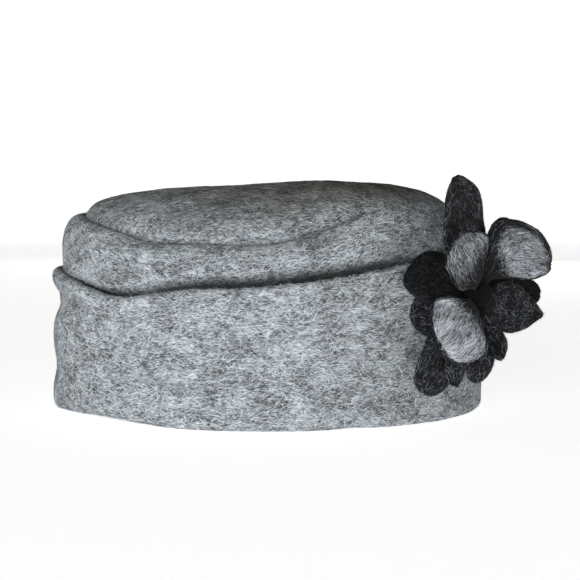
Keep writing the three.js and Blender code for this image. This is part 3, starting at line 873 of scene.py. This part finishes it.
for number, row in enumerate(petals):
    petal = dict(zip(petal_columns, row))
    share = np.sin(math.pi / 2 * np.arange(petal_steps + 1) / petal_steps) ** petal_opening
    lane = np.sin(math.pi / 2 * np.linspace(-1, 1, petal_lanes + 1))
    heading = np.radians(petal["turn"] + petal["bow"] * share)
    slope = np.radians(petal["rise"] + (petal["fall"] - petal["rise"]) * share)
    outward = np.stack([np.cos(heading), np.sin(heading), 0 * heading], -1)
    side = np.stack([-np.sin(heading), np.cos(heading), 0 * heading], -1)
    ahead = outward * np.cos(slope)[:, None] + np.array([0, 0, 1]) * np.sin(slope)[:, None]
    face = np.cross(ahead, side)
    roll = np.radians(petal["roll"]) * np.minimum(1, share / petal_twist)[:, None]
    side, face = side * np.cos(roll) + face * np.sin(roll), face * np.cos(roll) - side * np.sin(roll)
    length = petal["long"] * petal_length
    steps = np.diff(share, prepend=0)[:, None] * length * ahead
    start = petal["start"] * foot_radius + seat
    begin = math.radians(petal["turn"])
    spine = np.cumsum(steps, 0) + np.array(
        [
            start * math.cos(begin),
            start * math.sin(begin),
            foot_flange_thick + (petal["level"] + 0.5) * petal_felt + (petal["level"] + 1) * seat,
        ]
    )
    swell = petal["wide"] * petal_width / 2 * petal_swell(share, petal["point"])
    root_width = petal_root if petal["pale"] else dark_root * petal_root
    width = np.maximum(root_width / 2 * (1 - share), swell)[:, None]
    curl = np.radians(petal["curl"]) * np.sin(math.pi / 2 * np.minimum(1, 2 * share))[:, None]
    curl = np.where(np.abs(curl) < least_curl, least_curl, curl)
    across = width * np.sin(curl * lane) / curl
    lift = width * (1 - np.cos(curl * lane)) / curl
    wave_at = share[:, None] * ruffle_waves + number * ruffle_step + np.where(lane > 0, ruffle_side, 0)
    wave = np.sin(wave_at) * np.abs(lane) ** 2
    lift = lift + ruffle * wave * np.minimum(1, 2 * share)[:, None]
    grid = spine[:, None] + side[:, None] * across[..., None] + face[:, None] * lift[..., None]
    for i in range(petal_steps + 1):
        for j in range(petal_lanes + 1):
            spot = Vector(grid[i, j]) / petal_dent_size + Vector((0, 0, number * petal_dent_step))
            grid[i, j] += face[i] * noise.noise(spot) * petal_dent * mm * min(1, 3 * share[i])
    _, forward, inward = sheet_frame(grid, ring=False)
    end = np.clip((share - end_from) / (1 - end_from), 0, 1)[:, None]
    begin = np.clip(1 - share / root_round, 0, 1)[:, None]
    thick = petal_felt / 2 * np.sqrt(np.clip(1 - np.abs(lane) ** rim_square, 0, 1))
    thick = thick * np.sqrt(np.clip(1 - end**end_square, 0, 1))
    thick = (thick * np.sqrt(1 - begin**2))[..., None]
    front, back = grid - inward * thick, grid + inward * thick
    rows, lanes = grid.shape[:2]
    index = np.arange(rows * lanes).reshape(rows, lanes)
    behind = index.copy()
    inner = (rows - 2) * (lanes - 2)
    behind[1:-1, 1:-1] = rows * lanes + np.arange(inner).reshape(rows - 2, lanes - 2)
    faces = []
    for i in range(rows - 1):
        for j in range(lanes - 1):
            quad = (i, j), (i, j + 1), (i + 1, j + 1), (i + 1, j)
            faces.append([int(index[q]) for q in reversed(quad)])
            faces.append([int(behind[q]) for q in quad])
    left, right, tip_margin = (m * mm for m in margins.get(petal["name"], (1, 1, 1)))
    inland = np.minimum(width * (1 - lane) / left, width * (1 + lane) / right)
    inland = np.minimum(inland, ((1 - share) * length / tip_margin)[:, None])
    past_root = np.clip((share - pale_from) / pale_over, 0, 1)[:, None]
    pale = np.clip(inland - pale_inset, 0, 1) * past_root * petal["pale"]
    # Shade of the flower's middle, painted near each petal's root.
    hollow = np.broadcast_to(np.clip(root_shade - share / root_shade_reach, 0, 1)[:, None], across.shape)
    weave = np.stack([share[:, None] * length + 0 * across, 0 * across + number * petal_apart, across], -1)
    nap = np.broadcast_to(np.clip((share - hairy_from) * hairy_gain, 0, 1)[:, None], across.shape)
    piece = felt_piece(
        "felt_" + petal["name"],
        root + both(front, back) @ axes,
        faces,
        weave=both(weave),
        lay=both(forward @ axes),
        top=both(0 * across),
        nap=both(nap),
        pale=both(pale, 0 * pale),
        hollow=both(hollow),
    )
    felt_finish, wool_finish = pale_grey if petal["pale"] else shaded_black if petal["shaded_black"] else charcoal
    piece.data.materials.append(felt_finish)
    wool = loose_wool(
        "wool_" + petal["name"],
        piece,
        wool_finish,
        Nap="nap",
        Shortest=1.5 * mm,
        Seed=20 + number,
        **(combed if petal["pale"] else tangled),
    )
    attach(piece, "root")
    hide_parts(petal["name"])
    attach(wool, "root")


# The stub.
# A small flanged knot of black felt that the petals are sewn to. They hide all of it but its rounded end, which lies
# in their shade, painted into the colour of the whole stub.
foot_round = foot_flange_thick / 2
foot_blunt, nearly_up = 0.6, math.pi / 2 - 0.05
foot_length = foot_flange_thick + foot_layers * (petal_felt + seat) + foot_crown
outline = [(0, 0)]
outline += [
    (foot_flange - foot_round + foot_round * math.sin(a), foot_round - foot_round * math.cos(a))
    for a in np.linspace(0, math.pi, 9)
]
outline += [(foot_radius, foot_flange_thick)]
outline += [
    (foot_radius * math.cos(a) ** foot_blunt, foot_length - 2 * foot_crown + 2 * foot_crown * math.sin(a))
    for a in np.linspace(0, nearly_up, 7)
]
foot_turns = 40
turn = np.arange(foot_turns) * 2 * math.pi / foot_turns
body = np.array([[(r * math.cos(t), r * math.sin(t), z) for t in turn] for r, z in outline[1:]])
local = np.concatenate([flat(body), [[0, 0, 0], [0, 0, foot_length]]])
# Shade is painted over the whole stub.
foot = felt_piece(
    "felt_stub",
    root + local @ axes,
    closed_faces(len(body), foot_turns),
    weave=local,
    top=np.zeros(len(local)),
    hollow=np.ones(len(local)),
)
foot.data.materials.append(shaded_black[0])
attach(foot, "root")
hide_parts("flower_foot")


# The studio.
# A pale floor that runs up into a low wall all round, a large soft light in front of the hat and a weaker one behind.
floor_step, floor_reach, floor_bend, wall_height = 0.35, 3.2, 0.8, 0.9
profile = [(floor_step * k, 0) for k in range(1, 9)]
profile += [
    (floor_reach + floor_bend * math.sin(a), floor_bend - floor_bend * math.cos(a))
    for a in np.linspace(0, math.pi / 2, 9)
]
profile += [(floor_reach + floor_bend, wall_height)]
floor_turns = 64
floor_points = [(0, 0, 0)]
for radius, height in profile:
    for k in range(floor_turns):
        a = 2 * math.pi * k / floor_turns
        floor_points.append((radius * math.cos(a), radius * math.sin(a), height))
faces = [(0, 1 + k, 1 + (k + 1) % floor_turns) for k in range(floor_turns)]
for i in range(len(profile) - 1):
    for k in range(floor_turns):
        p, q = 1 + i * floor_turns + k, 1 + i * floor_turns + (k + 1) % floor_turns
        faces.append((p, p + floor_turns, q + floor_turns, q))
floor_mesh = bpy.data.meshes.new("floor")
floor_mesh.from_pydata(floor_points, [], faces)
floor_mesh.polygons.foreach_set("use_smooth", [True] * len(floor_mesh.polygons))
floor = bpy.data.objects.new("floor", floor_mesh)
bpy.context.scene.collection.objects.link(floor)
paper = bpy.data.materials.new("paper")
paper.use_nodes = True
paper_shader = paper.node_tree.nodes["Principled BSDF"]
paper_shader.inputs["Base Color"].default_value = (0.9, 0.9, 0.9, 1)
paper_shader.inputs["Roughness"].default_value = 1.0
paper_shader.inputs["Specular IOR Level"].default_value = 0.0
paper_shader.inputs["Emission Color"].default_value = (1, 1, 1, 1)
paper_shader.inputs["Emission Strength"].default_value = 0.8
floor_mesh.materials.append(paper)


light_aim = middle + Vector((0, 0, 0.05))


def area_light(name, place, size, power, colour):
    """A soft light that looks at the hat and that the camera doesn't see."""
    data = bpy.data.lights.new(name, "AREA")
    data.shape = "RECTANGLE"
    data.size, data.size_y = size
    data.energy = power
    data.color = colour
    light = bpy.data.objects.new(name, data)
    light.location = place
    light.rotation_euler = (light_aim - Vector(place)).to_track_quat("-Z", "Y").to_euler()
    light.visible_camera = False
    bpy.context.scene.collection.objects.link(light)


area_light("front_light", (-0.6, -1.65, 0.15), (1.2, 0.28), 27, (0.97, 0.99, 1))
area_light("back_light", (0.5, 1.6, 0.12), (1.2, 0.22), 7, (1, 0.96, 0.92))
world = bpy.data.worlds.new("studio")
world.use_nodes = True
world.node_tree.nodes["Background"].inputs["Color"].default_value = (1, 0.93, 0.85, 1)
world.node_tree.nodes["Background"].inputs["Strength"].default_value = 0.03
bpy.context.scene.world = world
bpy.context.scene.view_settings.view_transform = "Standard"

# The camera looks slightly down at the long side of the hat, as the photograph does.
camera_data = bpy.data.cameras.new("camera")
camera_data.sensor_width = 36
camera_data.lens = 79.8
camera_data.shift_x = 0.0388
camera_data.shift_y = 0.0078
camera_data.clip_end = 20
camera = bpy.data.objects.new("camera", camera_data)
looked_at = middle + Vector((0, 0, 55 * mm))
camera_height, camera_distance = math.radians(4), 0.65
camera.location = looked_at + camera_distance * Vector((0, -math.cos(camera_height), math.sin(camera_height)))
camera.rotation_euler = (looked_at - camera.location).to_track_quat("-Z", "Y").to_euler()
bpy.context.scene.collection.objects.link(camera)
bpy.context.scene.camera = camera
